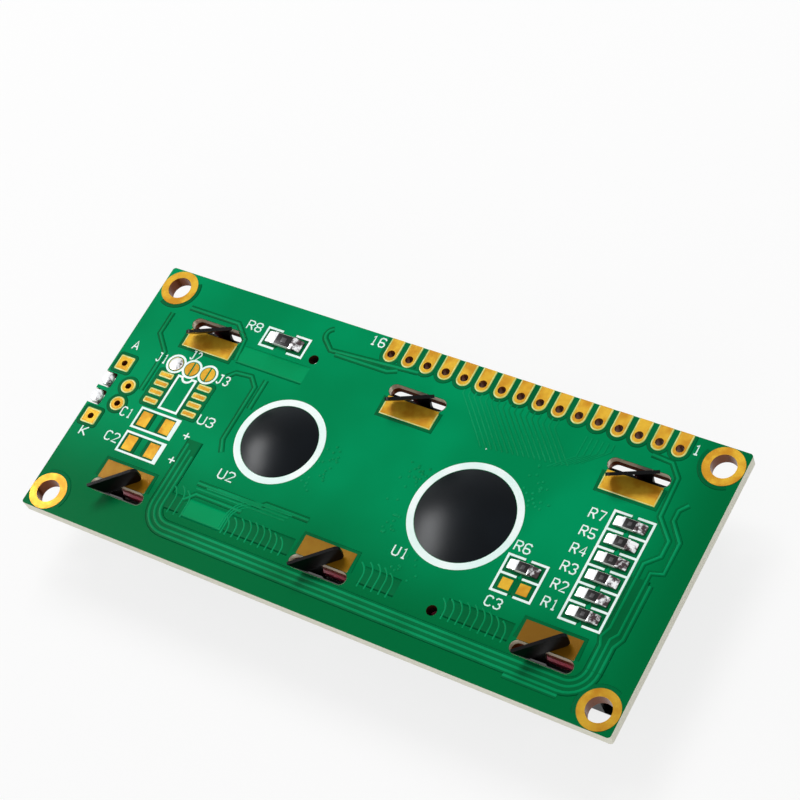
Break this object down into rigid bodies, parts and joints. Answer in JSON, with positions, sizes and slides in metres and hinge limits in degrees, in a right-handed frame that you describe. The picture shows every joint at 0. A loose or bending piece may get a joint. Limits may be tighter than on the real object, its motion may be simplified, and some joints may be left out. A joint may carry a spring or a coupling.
{
  "type": "character lcd module",
  "caption": "Small character display module: a green circuit board with a black folded metal bezel, held by twisted tabs, in front and resin-capped chips on the back.",
  "frame": {"origin": "on the front face of the bezel, under the centre of the board, with the module lying on its face", "axes": "+Z out of the back of the board, +Y towards the edge with the row of header holes, +X towards header hole 1"},
  "size_m": [0.08, 0.036, 0.0128],
  "materials": {
    "board": "glossy green solder mask over copper tracks",
    "black_steel": "satin black paint on sheet steel",
    "polariser": "smooth dark blue film",
    "glass": "clear polished glass",
    "seal": "cured epoxy seal",
    "crystal": "thin clear fluid film",
    "strip": "soft pink silicone with fine layers",
    "film": "white diffusing film",
    "guide": "clear acrylic",
    "reflector": "bright reflecting film",
    "white_plastic": "white moulded plastic",
    "lamp": "lamp bodies with yellow phosphor",
    "tin": "bright tinned metal",
    "solder": "smooth bright solder",
    "silicon": "polished silicon",
    "resin": "smooth black epoxy",
    "resistor": "black coat on white ceramic with tinned ends",
    "gold": "gold flash on copper",
    "ink": "white printed ink"
  },
  "bodies": {
    "root": {"pcb": "board", "bezel": "black_steel", "front_polariser": "polariser", "front_glass": "glass", "cell_seal": "seal", "liquid_crystal": "crystal", "rear_glass": "glass", "rear_polariser": "polariser", "upper_contact_strip": "strip", "lower_contact_strip": "strip", "diffuser_film": "film", "light_guide": "guide", "reflector_film": "reflector", "backlight_tray": "white_plastic", "lamp_board": "white_plastic", "lamps": "lamp", "backlight_pin_a": "tin", "backlight_pin_k": "tin", "pin_solder": "solder", "controller_die": "silicon", "controller_cap": "resin", "driver_die": "silicon", "driver_cap": "resin", "resistor_1": "resistor", "resistor_2": "resistor", "resistor_3": "resistor", "resistor_4": "resistor", "resistor_5": "resistor", "resistor_6": "resistor", "resistor_7": "resistor", "resistor_8": "resistor", "resistor_solder": "solder", "mounting_rings": "gold", "header_lands": "gold", "earth_lands": "gold", "chip_lands": "gold", "capacitor_lands": "gold", "jumper_lands": "gold", "backlight_lands": "gold", "jumper_solder": "solder", "printed_outlines": "ink"}
  },
  "joints": []
}
